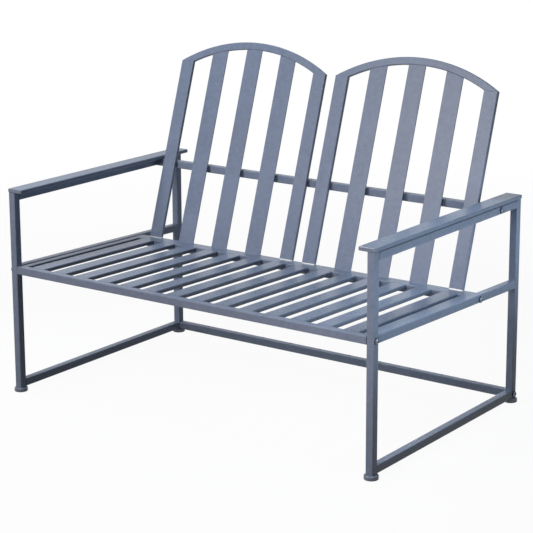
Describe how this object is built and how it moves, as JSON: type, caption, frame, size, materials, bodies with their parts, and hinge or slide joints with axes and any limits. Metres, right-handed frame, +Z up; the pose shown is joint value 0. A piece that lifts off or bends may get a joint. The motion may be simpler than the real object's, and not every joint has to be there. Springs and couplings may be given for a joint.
{
  "type": "patio loveseat",
  "caption": "Powder-coated steel tube patio loveseat: closed end frames with flat armrests, a slatted seat and two slatted back panels with arched tops.",
  "frame": {"origin": "centre of the footprint at floor level, under the middle of the bench", "axes": "+X to the right as seen from the front, across the seat; -Y is the side the sitter faces; +Z up"},
  "size_m": [1.115, 0.6924, 0.8595],
  "materials": {
    "powder_coat": "satin fine-texture powder coat",
    "moulded_plastic": "moulded satin",
    "bolt_steel": "dark satin with bright highlights",
    "screw_steel": "dark satin",
    "plug_steel": "plain zinc-plated"
  },
  "bodies": {
    "root": {"back_crossbar": "powder_coat", "cross_tube_plugs": "plug_steel", "crossbar_screws": "screw_steel", "frame_bolts": "bolt_steel", "frame_washers": "bolt_steel", "left_arm_rail": "powder_coat", "left_armrest": "powder_coat", "left_armrest_front_cap": "moulded_plastic", "left_armrest_rear_cap": "moulded_plastic", "left_bottom_rail": "powder_coat", "left_front_foot": "moulded_plastic", "left_front_leg": "powder_coat", "left_panel_arch": "powder_coat", "left_panel_inner_upright": "powder_coat", "left_panel_outer_upright": "powder_coat", "left_panel_slat_1": "powder_coat", "left_panel_slat_2": "powder_coat", "left_panel_slat_3": "powder_coat", "left_rear_foot": "moulded_plastic", "left_rear_leg": "powder_coat", "left_side_rail": "powder_coat", "panel_foot_plates": "powder_coat", "panel_foot_screws": "screw_steel", "rear_rail_plugs": "plug_steel", "rear_stretcher": "powder_coat", "right_arm_rail": "powder_coat", "right_armrest": "powder_coat", "right_armrest_front_cap": "moulded_plastic", "right_armrest_rear_cap": "moulded_plastic", "right_bottom_rail": "powder_coat", "right_front_foot": "moulded_plastic", "right_front_leg": "powder_coat", "right_panel_arch": "powder_coat", "right_panel_inner_upright": "powder_coat", "right_panel_outer_upright": "powder_coat", "right_panel_slat_1": "powder_coat", "right_panel_slat_2": "powder_coat", "right_panel_slat_3": "powder_coat", "right_rear_foot": "moulded_plastic", "right_rear_leg": "powder_coat", "right_side_rail": "powder_coat", "seat_front_rail": "powder_coat", "seat_left_rail": "powder_coat", "seat_rear_rail": "powder_coat", "seat_right_rail": "powder_coat", "seat_slat_01": "powder_coat", "seat_slat_02": "powder_coat", "seat_slat_03": "powder_coat", "seat_slat_04": "powder_coat", "seat_slat_05": "powder_coat", "seat_slat_06": "powder_coat", "seat_slat_07": "powder_coat", "seat_slat_08": "powder_coat", "seat_slat_09": "powder_coat", "seat_slat_10": "powder_coat", "seat_slat_11": "powder_coat", "seat_slat_12": "powder_coat", "seat_slat_13": "powder_coat", "seat_slat_14": "powder_coat"}
  },
  "joints": []
}
